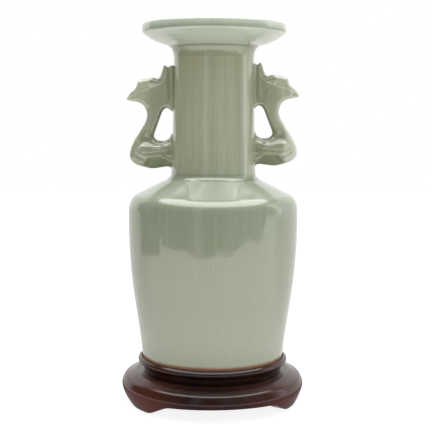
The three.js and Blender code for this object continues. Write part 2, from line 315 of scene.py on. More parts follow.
# Dark hardwood, turned and carved, stained nearly black-red and lacquered to a satin gloss.
# It gives the eye fine pores along the grain, redder patches, and a soft sheen on every arris.
woodLook = {
    "dark": "130a08",
    "warm": "2f1812",
    "sheenRed": "5e2a1c",  # painted red sheen, redder where its attribute is high
    "grainLength": 14.0,  # mm
    "grainWidth": 0.9,  # mm
    "poreWidth": 0.35,  # mm, drawn coarser than the real pores so that they show
    "patchSize": 30.0,  # mm
    "spread": (0.12, 0.42),  # grain times patches: darkest, warmest
    "poreBump": (0.15, 0.08),  # strength and depth in mm
    "roughness": 0.18,
    "ior": 1.42,
}


def lacqueredHardwood():
    look = woodLook
    material, tree = newMaterial("lacqueredHardwood")
    place = addNode(tree, "TexCoord").outputs["Object"]
    along = look["grainWidth"] / look["grainLength"]
    stretch = addNode(tree, "Mapping", inputs={
        "Vector": place, "Scale": (along, 1.0, 1.0)}).outputs["Vector"]
    grain, pores, patches = (
        addNode(tree, "TexNoise", inputs={
            "Vector": vector, "Scale": 1 / (length * mm), "Detail": detail}).outputs["Fac"]
        for vector, length, detail in (
            (stretch, look["grainWidth"], 4.0), (stretch, look["poreWidth"], 1.0),
            (place, look["patchSize"], 2.0)))
    mixed = addNode(tree, "Math", {"operation": "MULTIPLY"}, {0: grain, 1: patches}).outputs[0]
    spread = addNode(tree, "MapRange", inputs={
        "Value": mixed, "From Min": look["spread"][0], "From Max": look["spread"][1]}).outputs["Result"]
    # Painted red sheen towards the sides of the stand
    redSheen = addNode(tree, "Attribute", {"attribute_name": "paintedRedSheen"}).outputs["Fac"]
    colour = linearColour(look["dark"])
    for share, other in ((spread, "warm"), (redSheen, "sheenRed")):
        colour = addNode(tree, "Mix", {"data_type": "RGBA"}, {
            "Factor": share, "A": colour, "B": linearColour(look[other])}).outputs["Result"]
    strength, depth = look["poreBump"]
    poreBump = addNode(tree, "Bump", inputs={
        "Height": pores, "Strength": strength, "Distance": depth * mm})
    shader = addNode(tree, "BsdfPrincipled", inputs={
        "Base Color": colour,
        "Roughness": look["roughness"],
        "IOR": look["ior"],
        "Normal": poreBump.outputs["Normal"]})
    finishMaterial(tree, shader.outputs["BSDF"])
    return material


# Body, slot and material of the two halves
vaseFinish = ("vase", "celadon_glaze", celadonGlaze())
standFinish = ("stand", "dark_hardwood", lacqueredHardwood())
print("materials made")


# Vase body, heights in mm from the floor
vaseSizes = {
    "seat": 30.5,
    "footRadius": 54.6,
    "footRing": 7.0,
    "footRecess": 4.0,
    "floor": 6.0,
    "wall": 4.2,
    "wallBend": (3.1, 0.365, 0.503),  # its control points: mm outwards, and two shares of its height
    "belly": (65.3, 143.0),
    "shoulder": (65.1, 158.0),  # corner before rounding
    "shoulderRounding": 8.2,
    "slope": math.radians(25.5),
    "neckBase": 32.5,
    "neckRounding": 5.0,
    "jointRise": 4.0,  # lower joint above the corner of slope and neck
    "turns": 288,
    # Pale and dark streaks round the vase, painted into the shoulder's highlight: degrees from the front,
    # width and paleness
    "streaks": [(-31, 2.5, 0.25), (-21, 4.0, -0.1), (-11, 3.0, 0.25), (2, 6.0, -0.1), (19, 6.0, 0.25),
                (34, 4.0, 0.15), (80, 9.0, 0.15), (140, 8.0, 0.2), (-95, 9.0, 0.15), (-150, 7.0, 0.2)],
    "shoulderHighlightBand": (158.0, 164.0, 173.0, 177.0),  # painted highlight of the overhead light on the shoulder: begins, full, fades, ends
    "paintedShoulderHighlight": 0.42,
    "lowFloorReflection": (85.0, 50.0, 0.1),  # painted reflection of the floor low on the body: from, to, and how much
    "lowBrown": (150.0, 100.0, 0.1),
}
slopeTan = math.tan(vaseSizes["slope"])
neckCorner = vaseSizes["shoulder"][1] + (vaseSizes["shoulder"][0] - vaseSizes["neckBase"]) * slopeTan
lowerJoint = neckCorner + vaseSizes["jointRise"]


# Wall from the foot to the lower joint, moved inwards by inset: foot curve, shoulder rounding,
# straight slope, rounding into the neck
def bodyCurve(inset):
    size = vaseSizes
    corner = inset * math.tan((math.pi / 2 - size["slope"]) / 2)
    foot = size["footRadius"] - inset
    belly, bellyHeight = size["belly"][0] - inset, size["belly"][1]
    radius, top = size["shoulder"][0] - inset, size["shoulder"][1] - corner
    rounding, run = size["shoulderRounding"], size["shoulderRounding"] * math.cos(size["slope"])
    neck, neckTop = size["neckBase"] - inset, neckCorner - corner
    small = size["neckRounding"]
    seat, (bendOut, bendLow, bendHigh) = size["seat"], size["wallBend"]
    rise = bellyHeight - seat
    return joinCurves(
        bezier([(foot, seat), (foot + bendOut, seat + bendLow * rise), (belly, seat + bendHigh * rise),
                (belly, bellyHeight)], 80),
        bezier([(radius, top - rounding), (radius, top), (radius - run, top + run * slopeTan)], 20),
        bezier([(neck + small, neckTop - small * slopeTan), (neck, neckTop), (neck, lowerJoint)], 16))


# Degrees round the vase, from the front towards the right
def frontAngle(grid):
    return np.degrees(np.arctan2(grid[..., 0], -grid[..., 1]))


# A bump in the relief value for each streak round the vase
def streakRelief(grid, streaks):
    angle = frontAngle(grid)
    return sum(paleness * bump(angle - middle, width) for middle, width, paleness in streaks)


# One closed profile, turned: the recess and ring of the foot, the outside, the inside, the floor
def vaseBody():
    size = vaseSizes
    seat, foot = size["seat"], size["footRadius"]
    under, ring = seat + size["footRecess"], foot - size["footRing"]
    floorTop = under + size["floor"]
    inside = bodyCurve(size["wall"])
    inside = inside[inside[:, 1] > floorTop + size["wall"]][::-1]
    corner = inside[-1]
    profile = joinCurves(
        (0, under), (ring - 3, under),
        bezier([(ring - 2, under), (ring, under), (ring + 0.6, seat + 0.3)], 6),
        (ring + 1, seat), (foot - 0.8, seat), bodyCurve(0)[1:], inside,
        bezier([corner, (corner[0], floorTop), (corner[0] - 6, floorTop)], 8), (0, floorTop))
    grid = turnedGrid(profile, size["turns"])
    height, radius = grid[..., 2], np.hypot(grid[..., 0], grid[..., 1])
    # Painted highlight on the shoulder, with its streaks, and painted reflection of the floor low on the
    # body
    onShoulderHighlight = window(height, *size["shoulderHighlightBand"]) * (radius > size["neckBase"] + 3.5)
    runs = streakRelief(grid, size["streaks"])
    gridMesh("vaseBody", grid, "vase_body", vaseFinish, {
        "glazeReliefAndPaintedLight": (size["paintedShoulderHighlight"] + runs) * onShoulderHighlight + ramp(height, *size["lowFloorReflection"]),
        "brownTone": ramp(height, *size["lowBrown"])}, sharp=sharpAngle)


vaseBody()


# Neck tube between the two luted joints
neckSizes = {
    "length": 87.0,
    "topRadius": 30.65,
    "waist": 0.5,
    "waistAt": 0.45,  # share of the length
    # Pale and dark streaks: degrees from the front, width and paleness, as on the body
    "streaks": [(-62, 5.0, 0.05), (-35, 3.0, 0.10), (-22, 5.0, 0.06), (-11.5, 3.5, 0.12), (-6, 26.0, 0.08),
                (-2.5, 2.5, -0.04), (8, 5.0, 0.08), (23, 4.0, 0.05), (36, 3.0, -0.06), (41, 7.0, -0.06),
                (60, 6.0, 0.06), (110, 7.0, 0.08), (150, 6.0, 0.06), (-120, 6.0, 0.08), (-160, 7.0, 0.06)],
    "streaksAtFoot": 0.4,  # their share there
    "streaksGrow": (0.0, 0.45, 0.6),  # shares of the length from and to, and how much
    "paleness": 0.24,
    "topPaleness": (0.7, 1.0, -0.1),
    "brown": 0.16,
    "topBrown": (0.55, 1.0, 0.2),
    "leftBrown": (0.0, 30.0, 0.1),  # degrees to the left of the front
}
upperJoint = lowerJoint + neckSizes["length"]


def neckCurve(outset):
    base, top = vaseSizes["neckBase"] + outset, neckSizes["topRadius"] + outset
    middle = lowerJoint + neckSizes["waistAt"] * neckSizes["length"]
    return bezier([(base, lowerJoint), (top + neckSizes["waist"], middle), (top, upperJoint)], 60)


# A tube: the neck's curve and the same curve moved inwards by the wall, turned
def vaseNeck():
    size = neckSizes
    profile = joinCurves(neckCurve(0), neckCurve(-vaseSizes["wall"])[::-1])
    grid = turnedGrid(profile, vaseSizes["turns"])
    share = (grid[..., 2] - lowerJoint) / size["length"]
    strength = size["streaksAtFoot"] + ramp(share, *size["streaksGrow"])
    relief = size["paleness"] + ramp(share, *size["topPaleness"])
    brown = size["brown"] + ramp(share, *size["topBrown"]) + ramp(-frontAngle(grid), *size["leftBrown"])
    gridMesh("vaseNeck", grid, "vase_neck", vaseFinish, {
        "glazeReliefAndPaintedLight": relief + strength * streakRelief(grid, size["streaks"]),
        "brownTone": brown}, rowsRound=True, sharp=sharpAngle)


vaseNeck()


# Dish mouth: cove out of the neck, a fine turning line, the dish, and its upright lip
mouthSizes = {
    "height": 25.2,
    "radius": 54.9,
    "band": 6.9,
    "coveRise": 9.8,
    "coveWidth": 6.0,
    "lipRounding": 1.2,
    "lipFall": 1.8,  # height of the rounded outside
    "lipWidth": 4.3,
    "dishDepth": 10.5,
    "lineDepth": 0.21,  # inwards and upwards
    "lineHeight": 272.0,
    # Relief: painted light from the floor on the underside, a painted highlight on the upright band's upper
    # half, thin glaze with painted highlights on two arrises, pooled glaze in the line, and pooled glaze
    # deepened by painted shade in the dish
    "paintedFloorLight": 0.9,
    "lowArrisThinAndLit": (0.9, 1.4),  # with the width of the bell in mm, as in the next ones
    "topArrisThinAndLit": (0.5, 0.7),
    "line": (-0.8, 0.4),
    "dish": -0.8,
    "coveBrown": 0.25,
}


# Outside and inside drawn as one closed profile and turned, with the relief worked out along it.
# The numbers beside a name in a curve are mm by which its control points stand off.
def dishMouth():
    size = mouthSizes
    top = upperJoint + size["height"]
    coveTop = upperJoint + size["coveRise"]
    bandFoot = top - size["band"]
    neck, rim, soft = neckSizes["topRadius"], size["radius"], size["lipRounding"]
    bore = neck - vaseSizes["wall"]
    lip = rim - size["lipWidth"]
    dishFloor = top - size["dishDepth"]
    coveEnd, dishEnd = (neck + size["coveWidth"], coveTop), (rim - 2.6, bandFoot - 1.4)
    outside = joinCurves(
        bezier([(neck, upperJoint), (neck + 0.4, coveTop - 1.3), coveEnd], 40),
        bezier([coveEnd, (rim - 9.8, coveTop + 1.9), dishEnd], 40),
        bezier([dishEnd, (rim, bandFoot + 0.1), (rim, bandFoot + 2.2)], 16),
        bezier([(rim, top - size["lipFall"]), (rim, top), (rim - soft, top)], 16))
    line = bump(outside[:, 1] - size["lineHeight"], 0.35) * size["lineDepth"]
    outside = outside + np.stack([-line, line], 1)
    inside = joinCurves(
        bezier([(lip + 0.6, top), (lip, top), (lip, top - soft)], 6),
        bezier([(lip, top - soft), (lip - 1, dishFloor + 1.4), (lip - 12, dishFloor)], 24),
        bezier([(bore + 7, dishFloor - 1.6), (bore, dishFloor - 3), (bore, upperJoint)], 24))
    profile = joinCurves(outside, inside)
    radius, height = profile[:, 0], profile[:, 1]
    isInside = (np.arange(len(profile)) >= len(outside)) & (height < top - 1.5)
    # Painted light from the floor under the dish, and painted highlights on the band and its arrises, where
    # the glaze also runs thin
    paintedFloorLight = smoothStep(radius, neck + 2.6, neck + 5) * (height > coveTop - 3) * (height < bandFoot + 0.5)
    lowArrisThinAndLit = bump(height - bandFoot + 1.6, size["lowArrisThinAndLit"][1]) * (radius > rim - 6)
    topArrisThinAndLit = bump(height - top, size["topArrisThinAndLit"][1]) * (radius > lip - 1)
    upperBandHighlight = smoothStep(height, bandFoot + 0.5, bandFoot + 4.5) * (radius > lip)
    cut = bump(height - size["lineHeight"], size["line"][1]) * (radius < rim - 8) * (radius > neck + 0.5)
    thinAndLit = size["paintedFloorLight"] * paintedFloorLight + size["lowArrisThinAndLit"][0] * lowArrisThinAndLit + size["topArrisThinAndLit"][0] * topArrisThinAndLit
    relief = np.clip(thinAndLit + upperBandHighlight, 0, 1) + size["line"][0] * cut
    # Pooled glaze inside the dish, darkened further as painted shade
    relief = np.where(isInside, size["dish"], relief)
    brown = size["coveBrown"] * (height < coveTop - 2.5) * (radius > bore + 2)
    gridMesh("dishMouth", turnedGrid(profile, vaseSizes["turns"]), "dish_mouth", vaseFinish, {
        "glazeReliefAndPaintedLight": relief[:, None], "brownTone": brown[:, None]}, rowsRound=True, sharp=sharpAngle)


dishMouth()


# Phoenix handles, drawn for the right-hand side in mm: x from the vase's axis, z from the floor.
# Each is one band that runs from the tail's root, round the gap and up to the crest's root.
# Its inner edge is the rim of the gap, its outer edge is breast, throat, beak, cap and crest.
birdSizes = {
    "across": 88,  # points from the inner edge to the outer edge
    "beakArch": (-1.0, 4.5),  # mm that the rows to the beak are bent by
    "tilt": 1.5,  # degrees that the left bird leans out
    "drop": 2.2,  # mm that the left bird sits lower
    "pivot": (31.2, 181.05),
    "headFrom": (228.0, 236.0),  # heights between which the throat turns into the head
    "wingTo": (203.0, 206.0),  # and the wing into the throat
    "capLean": (0.2, 2.0),  # back above the brow line: mm for each mm, and mm at most
    "facetLean": (0.42, 3.0),  # likewise under the lowest feather line
    "facetEnd": (48.4, 191.2, 0.71),  # a point of the slanted line where the facet ends, and its slant
    "featherShares": (1.0, 0.45, 0.9),  # height of the ridges along featherLines, from the top
    "eye": (43.8, 250.0, 1.7),  # its middle, and its length against its height
    "paleness": 0.13,  # the glaze is a little thinner on the moulded birds than on the neck
    "brown": 0.2,
    "valleyBrown": 0.45,
    "breastPaleness": {1: 0.8, -1: 0.0},  # painted light on the breast and throat front, for the right bird only
}
# Stretches of the two edges that face each other, from root to root: inner points, outer points, steps
birdBands = [
    ([(29.0, 210.4), (31.7, 209.2), (33.4, 205.9)],
     [(29.0, 180.1), (31.6, 181.2), (33.6, 183.6), (36.5, 184)], 34),
    ([(33.4, 205.9), (36, 204.4), (39, 203.9)],
     [(36.5, 184), (40.5, 183.5), (45, 182.9), (49, 183)], 40),
    ([(39, 203.9), (42.4, 204.6), (44.5, 206.1)],
     [(49, 183), (54.7, 184.5), (59.1, 185.9), (62.3, 188.2)], 50),
    ([(44.5, 206.1), (45.1, 208), (44.6, 210.3)],
     [(62.3, 188.2), (64.1, 191.4), (64.2, 195), (63.2, 199.2)], 44),
    ([(44.6, 210.3), (43.1, 214), (41.6, 217.8)],
     [(63.2, 199.2), (60.3, 205), (56.9, 210), (54.4, 213.8)], 50),
    ([(41.6, 217.8), (40, 222), (38.9, 224.8)],
     [(54.4, 213.8), (51.4, 219.1), (50.1, 224), (51, 228.6)], 44),
    ([(38.9, 224.8), (38.4, 225.8), (37.8, 226.8)],
     [(51, 228.6), (53, 231.6), (56.9, 233.8), (62.2, 235)], 56),
    ([(37.8, 226.8), (37.4, 227.3), (36.9, 227.8)],
     [(62.2, 235), (64, 235.4), (65.5, 236.4), (65.2, 237.3)], 24),
    ([(36.9, 227.8), (36.2, 228.4), (35.4, 228.7)],
     [(65.2, 237.3), (62.6, 240.7), (59.9, 243.1), (58.3, 244.8), (57.2, 247.6), (56.4, 249.7)], 60),
    ([(35.4, 228.7), (34.4, 228.7), (33.5, 228.3)],
     [(56.4, 249.7), (53.9, 250.9), (49.5, 251.5), (45.1, 252.3), (41.2, 251.5)], 56),
    ([(33.5, 228.3), (32.6, 227.6), (31.8, 226.7)],
     [(41.2, 251.5), (38.9, 254), (37.4, 258), (36.4, 260.8), (35.3, 261.6)], 44),
    ([(31.8, 226.7), (30.4, 226.1), (28.4, 226)],
     [(35.3, 261.6), (34.2, 260.7), (33, 260), (31.2, 261.0), (28.0, 261.3)], 30),
]
# Half depth and edge rounding wanted near a place: x, z, half depth, rounding
birdDepths = [
    (31.5, 250, 2.9, 1.2), (31.5, 232, 3.0, 1.2), (36, 257, 2.5, 1.3), (37, 240, 3.4, 1.5),
    (43, 238, 4.6, 2.2), (48, 243, 4.9, 3.0), (50, 236, 5.0, 3.2), (56, 239, 4.2, 3.0),
    (63, 237, 1.9, 2.2), (52, 249, 4.2, 2.4), (43, 249, 3.9, 1.8), (45.5, 229, 4.8, 5.0),
    (44.5, 219, 4.9, 5.2), (47, 213, 4.9, 5.5), (53, 208, 4.8, 5.2), (50, 204, 4.9, 3.2),
    (60, 199, 6.0, 5.5), (59, 191, 6.0, 5.0), (50, 197, 6.9, 3.0), (40, 197, 6.6, 2.6),
    (33, 197, 5.8, 2.0), (33, 188, 5.2, 2.2), (45, 188, 6.2, 3.0), (38, 204, 4.6, 2.2),
]
browLine = [(33.6, 262), (34.2, 255), (36.2, 250.5), (38.7, 247.6), (42.2, 245.8), (45.1, 244.7),
            (49.5, 243.2), (53.9, 242.1), (57, 241.2), (60.5, 239.4), (65, 236.9)]
featherLines = [
    [(33, 201.3), (37.5, 199.6), (41.5, 198.8), (45.6, 199.1), (50.6, 200.7), (54.3, 200.2), (57.2, 198.6)],
    [(34, 197.6), (41.5, 196.9), (48.6, 196.1), (53, 196), (57.6, 196.8)],
    [(32.6, 188.3), (35.2, 190), (39.9, 192.4), (45.8, 192.3), (51.7, 192.1), (56.8, 193.9), (59, 196.2)],
]
capGrooves = [
    [(39.0, 250.6), (40.5, 250.0)],
    [(39.6, 247.6), (42.6, 247.9), (46, 248.3)],
]
# What each form adds where it lies, in mm of half depth
formRises = {
    "capLean": -1.0, "facetLean": -1.0, "slip": 1.3, "brow": 0.16, "feathers": 0.5, "rim": 0.5,
    "groove": -0.45, "capLines": -0.2, "eyeRing": -0.15, "bowl": -1.3,
}
# What each adds to the relief of the glaze: above 0 where it ran thin, below 0 where it pooled; on the cap,
# outer edge, breast and throat front it is painted light instead, on the facet, tail root and gap edge
# painted shade
formPaleness = {
    "brow": 0.5, "feathers": 0.5, "rim": 0.4, "groove": -0.5, "capLines": -0.9, "eyeRing": -0.9,
    "eyeBall": 0.5, "bowl": -0.9, "valleys": -0.1, "facet": -0.9, "tailRootShadow": -0.9, "gapEdgeShade": -0.9,
    "outerEdgeLight": 0.3, "head": 0.1, "capHighlight": 0.25, "beakSide": 0.25, "throat": 0.1, "throatFrontLight": 0.3,
    "breast": 1.0,
}
# Browner places: x and z of the middle, half width, half height, strength
brownPatches = [
    (47.5, 246, 5.5, 1.5, 0.6),  # behind the brow
    (33, 259.5, 1.6, 3.2, 0.45),  # crest
    (39, 202.6, 5.0, 1.2, 0.35),  # top of the wing
    (40, 240.5, 4.5, 5.5, 0.3),  # cheek
    (60, 237.5, 4, 1.6, 0.35),  # beak
]


# Distance from every point of a grid to a line of straight pieces: for each piece the foot of the
# perpendicular is held between its two ends
def distanceToLine(x, z, line):
    line = np.array(line, float)
    nearest = np.full(x.shape, np.inf)
    for (ax, az), (bx, bz) in zip(line[:-1], line[1:]):
        length = (bx - ax) ** 2 + (bz - az) ** 2
        share = np.clip(((x - ax) * (bx - ax) + (z - az) * (bz - az)) / length, 0, 1)
        nearest = np.minimum(nearest, np.hypot(x - ax - share * (bx - ax), z - az - share * (bz - az)))
    return nearest


# Height of such a line at each x
def heightOfLine(x, line):
    return np.interp(x, *np.array(line, float).T)


def evenSteps(points, steps):
    curve = throughPoints(points, 24)
    travelled = np.concatenate([[0], np.cumsum(np.linalg.norm(np.diff(curve, axis=0), axis=1))])
    wanted = np.linspace(0, travelled[-1], steps + 1)[:-1]
    return np.stack([np.interp(wanted, travelled, curve[:, k]) for k in (0, 1)], axis=1)


# The flat band: each row is a bezier curve of degree 2 from the inner edge to the outer edge. Rows to
# the beak arch upwards, because its underside is hollow and straight rows would leave the outline.
def birdBand():
    inner, outer = (
        np.vstack([evenSteps(band[k], band[2]) for band in birdBands] + [birdBands[-1][k][-1]])
        for k in (0, 1))
    across = (1 - np.cos(np.linspace(0, math.pi, birdSizes["across"]))) / 2  # closer at both edges
    toBeak = smoothStep(outer[:, 0], 49, 61) * window(outer[:, 1], 226, 229, 236, 246)
    middle = (inner + outer) / 2 + toBeak[:, None] * np.array(birdSizes["beakArch"])
    s = across[None, :, None]
    flat = inner[:, None] * (1 - s) ** 2 + middle[:, None] * 2 * s * (1 - s) + outer[:, None] * s ** 2
    return flat[..., 0], flat[..., 1], inner, outer


# Half depth and rounding at every point: means of birdDepths, weighted by 1 / (distance squared + 4)
# squared
def spreadDepths(x, z):
    spots = np.array(birdDepths)
    weights = 1 / ((x[..., None] - spots[:, 0]) ** 2 + (z[..., None] - spots[:, 1]) ** 2 + 4) ** 2
    weights /= weights.sum(axis=-1, keepdims=True)
    return (weights * spots[:, 2]).sum(axis=-1), (weights * spots[:, 3]).sum(axis=-1)


# Forms of the head as shares from 0 to 1, and its lean in mm: a side plane lies below the brow line,
# and a slope above it leans back to the cap
def headForms(x, z):
    slope, most = birdSizes["capLean"]
    eyeX, eyeZ, eyeLength = birdSizes["eye"]
    browHeight, browGap = heightOfLine(x, browLine), distanceToLine(x, z, browLine)
    above = np.where(z > browHeight, browGap, 0)
    isHead = smoothStep(z, *birdSizes["headFrom"])
    fromEye = np.hypot((x - eyeX) / eyeLength, z - eyeZ)
    return {
        "head": isHead,
        "capLean": isHead * np.clip(slope * above, 0, most),
        # Painted highlight of the overhead light on the slope above the brow
        "capHighlight": isHead * smoothStep(above, 1.5, 4),
        "brow": isHead * bump(browGap, 0.62) * smoothStep(x, 33.5, 36),
        "beakSide": isHead * smoothStep(x, 44, 54) * (z < browHeight),
        "groove": bump(x - 32.6, 1.0) * window(z, 232, 238, 257, 261.5),
        "capLines": np.max([bump(distanceToLine(x, z, line), 0.5) for line in capGrooves], axis=0),
        "eyeRing": bump(fromEye - 1.0, 0.28),
        "eyeBall": bump(fromEye, 0.6),
    }


# Forms of the wing, likewise: feather ridges, shallow valleys between them, a facet under the lowest,
# the breast in front of the facet, and a bowl on the back between wing and throat
def wingForms(x, z):
    slope, most = birdSizes["facetLean"]
    endX, endZ, slant = birdSizes["facetEnd"]
    isWing = 1 - smoothStep(z, *birdSizes["wingTo"])
    top = heightOfLine(x, featherLines[0])
    under = np.clip(heightOfLine(x, featherLines[-1]) - z, 0, None)
    fromEnd = x - endX - slant * (endZ - z)
    facet = isWing * smoothStep(fromEnd, 3.0, -1.5)
    ridges = [share * bump(distanceToLine(x, z, line), 1.0)
              for share, line in zip(birdSizes["featherShares"], featherLines)]
    valleys = smoothStep(under, 0.1, 0) * smoothStep(z, top + 0.8, top - 0.6) * window(x, 34, 37, 56, 59)
    return {
        "feathers": isWing * np.max(ridges, axis=0),
        "valleys": isWing * valleys,
        "facetLean": facet * np.clip(slope * under, 0, most),
        # Painted shade on the facet, which faces down
        "facet": facet * smoothStep(under, 0.8, 2.5),
        # Painted light on the breast
        "breast": smoothStep(fromEnd, 0, 6) * smoothStep(z, 222, 206) * smoothStep(x, 52, 56),
        "bowl": patch(x, z, 51, 204.8, 4.4, np.where(z > 204.8, 5.0, 2.5)),
        # Painted shadow between the tail's root, the wing and the neck
        "tailRootShadow": patch(x, z, 32.5, 193.5, 2.2, 3.0),
    }


# Forms beside the edges, likewise: a raised rim round the gap's top and down the throat's inner side,
# the slip smoothed into the neck, and the throat with its front
def edgeForms(x, z, innerGap, edge):
    throat = window(z, 207, 215, 226, 234)
    return {
        "rim": bump(innerGap - 2.0, 0.7) * smoothStep(z, 213, 220),
        "slip": bump(x - 30.2, 1.5),
        # Painted shade at the rim of the gap
        "gapEdgeShade": bump(innerGap, 0.9) * (x > 34),
        # Painted reflection along the outline, where the rounded edges mirror the bright room and floor
        "outerEdgeLight": bump(edge, 0.8) * smoothStep(innerGap, 1, 2),
        "throat": throat,
        # Painted light on the throat's front
        "throatFrontLight": throat * smoothStep(x, 45, 50),
    }


# A bird as a closed grid: the front (x, -half, z), then the back (x, half, z). Half is the half depth
# with every form added, times a quarter circle near both edges. Relief and brown tone go with it.
def birdGrid(breastPaleness):
    size = birdSizes
    x, z, inner, outer = birdBand()
    innerGap = distanceToLine(x, z, inner)
    edge = np.minimum(innerGap, distanceToLine(x, z, outer))
    forms = {**headForms(x, z), **wingForms(x, z), **edgeForms(x, z, innerGap, edge)}
    # Painted light on breast and throat front, bird by bird
    forms["breast"] = breastPaleness * forms["breast"]
    forms["throatFrontLight"] = breastPaleness * forms["throatFrontLight"]
    half, soft = spreadDepths(x, z)
    half = half + sum(rise * forms[name] for name, rise in formRises.items())
    half = half * np.sqrt(1 - (1 - np.clip(edge / soft, 0, 1)) ** 2)
    relief = size["paleness"] + sum(share * forms[name] for name, share in formPaleness.items())
    valleyBrown = size["valleyBrown"] * forms["valleys"] * bump(x - 41, 4)
    browns = [strength * patch(x, z, *place) for *place, strength in brownPatches]
    brown = np.max([np.full(x.shape, size["brown"]), valleyBrown, *browns], axis=0)
    front = np.stack([x, -half, z, np.clip(relief, -1, 1), brown], axis=-1)
    back = front[:, -2:0:-1] * (1, -1, 1, 1, 1)
    grid = np.concatenate([front, back], axis=1)
    return grid[..., :3], grid[..., 3], grid[..., 4]


def phoenixHandle(name, node, side):
    size = birdSizes
    grid, relief, brown = birdGrid(size["breastPaleness"][side])
    if side < 0:
        lean, (pivotX, pivotZ) = math.radians(size["tilt"]), size["pivot"]
        x, z = grid[..., 0] - pivotX, grid[..., 2] - pivotZ
        grid = np.stack([
            -(x * math.cos(lean) + z * math.sin(lean) + pivotX), grid[..., 1],
            z * math.cos(lean) - x * math.sin(lean) + pivotZ - size["drop"]], axis=-1)
    gridMesh(name, grid, node, vaseFinish, {"glazeReliefAndPaintedLight": relief, "brownTone": brown})


phoenixHandle("phoenixHandleRight", "phoenix_handle_right", 1)
phoenixHandle("phoenixHandleLeft", "phoenix_handle_left", -1)


# Wooden stand, heights in mm from the floor
standSizes = {
    "top": 23.2,
    "topRadius": 59.5,
    "widest": (70.9, 13.0),
    "turnOver": (68.9, 18.9),  # where the round side turns over towards the top
    "edge": (67.2, 20.2),
    "footRadius": 66.0,
    "footWidth": 10.0,
    "arch": 10.2,
    "archFall": 3.1,
    "archBend": 0.58,
    "hollowRise": 3.0,  # top of the inside above the arch
    "feet": 3,
    "firstFoot": -23.7,  # degrees from +X
    "footHalf": 4.5,  # degrees
    "arris": 0.5,
    "turns": 720,
    "rows": (56, 14, 8),  # on the side, inside and underneath
}
ringSizes = {
    "seat": vaseSizes["seat"],
    "lipRise": 4.55,
    "lipInner": 55.4,
    "bead": 58.25,
    "beadRound": 2.4,
    "beadRise": 1.5,  # middle of the round bead above the seat
    "beadTurn": (-70, 58),  # degrees from level, from its lower end to its upper end
    "waist": 53.4,
    "seatWidth": 5.3,
    "rebate": 4.2,
    "board": 4.0,
    "boardGap": 0.3,
    "spigotWall": 6.0,
    "spigotDepth": 6.2,
    "spigotGap": 0.3,
    "turns": 288,
    "redSheen": 0.6,  # painted red sheen on the lip
}
# Painted red sheen: towards both sides, less on the right, and less above the apron
redSheenShares = {
    "least": 0.1,
    "sides": (10.0, 55.0),  # mm from the middle
    "right": (-20.0, 40.0, -0.3),  # from, to, and how much
    "above": (9.0, 17.0, -0.55),
}
rebateRadius = ringSizes["lipInner"] - ringSizes["seatWidth"]
spigotRadius = rebateRadius - ringSizes["rebate"] + ringSizes["spigotWall"]


def paintedRedSheen(grid, level):
    x, z = grid[..., 0], grid[..., 2]
    sheenRed = redSheenShares
    towardsSide = smoothStep(np.abs(x), *sheenRed["sides"]) * (1 + ramp(x, *sheenRed["right"]))
    share = sheenRed["least"] + (1 - sheenRed["least"]) * towardsSide
    return {"paintedRedSheen": level * share * (1 + ramp(z, *sheenRed["above"]))}


# One closed profile, turned: lip with its bead, waist, flat seat, rebate for the board, and the
# spigot in the base
def seatRing():
    size = ringSizes
    seat, lip, bulge, base = size["seat"], size["lipInner"], size["beadRound"], standSizes["top"]
    top, ledge, low = seat + size["lipRise"], seat - size["board"], base - size["spigotDepth"]
    bore = spigotRadius - size["spigotWall"]
    turn = np.radians(np.linspace(*size["beadTurn"], 24))
    bead = np.stack([size["bead"] - bulge + bulge * np.cos(turn),
                     seat + size["beadRise"] + bulge * np.sin(turn)], axis=1)
    profile = joinCurves(
        (bore, low), (spigotRadius, low), (spigotRadius, base),
        bezier([(size["waist"], base), (size["waist"] + 0.8, seat - 2.2), bead[0]], 20), bead,
        (lip + 0.3, top), (lip, top - 0.3), (lip, seat),
        (rebateRadius, seat), (rebateRadius, ledge), (bore, ledge))
    grid = turnedGrid(densify(profile, 1.2), size["turns"])
    onLip = smoothStep(grid[..., 2], seat - 1, seat + 1)
    redSheen = paintedRedSheen(grid, size["redSheen"] * onLip)
    gridMesh("seatRing", grid, "stand_seat_ring", standFinish, redSheen, rowsRound=True)


# A turned disc with small bevels
def seatBoard():
    size = ringSizes
    radius = rebateRadius - size["boardGap"]
    low, top = size["seat"] - size["board"], size["seat"]
    profile = joinCurves((0, low), (radius - 0.3, low), (radius, low + 0.3), (radius, top - 0.3),
                         (radius - 0.3, top), (0, top))
    gridMesh("seatBoard", turnedGrid(densify(profile, 4), size["turns"]), "stand_panel", standFinish)


# Lower edge of the apron at each angle: u runs from -1 to 1 across an arch, the edge falls by
# archFall u^2 and drops to the floor along a smooth S towards each foot
def apronEdge(angle):
    size = standSizes
    spacing = 360 / size["feet"]
    half = spacing / 2 - size["footHalf"]
    fromFoot = np.mod(np.degrees(angle) - size["firstFoot"] + spacing / 2, spacing) - spacing / 2
    u = np.clip((spacing / 2 - np.abs(fromFoot)) / half, 0, 1)
    s = smoothStep(u, size["archBend"], 1)
    return np.clip((size["arch"] - size["archFall"] * u * u) * (1 - s), 0, None)


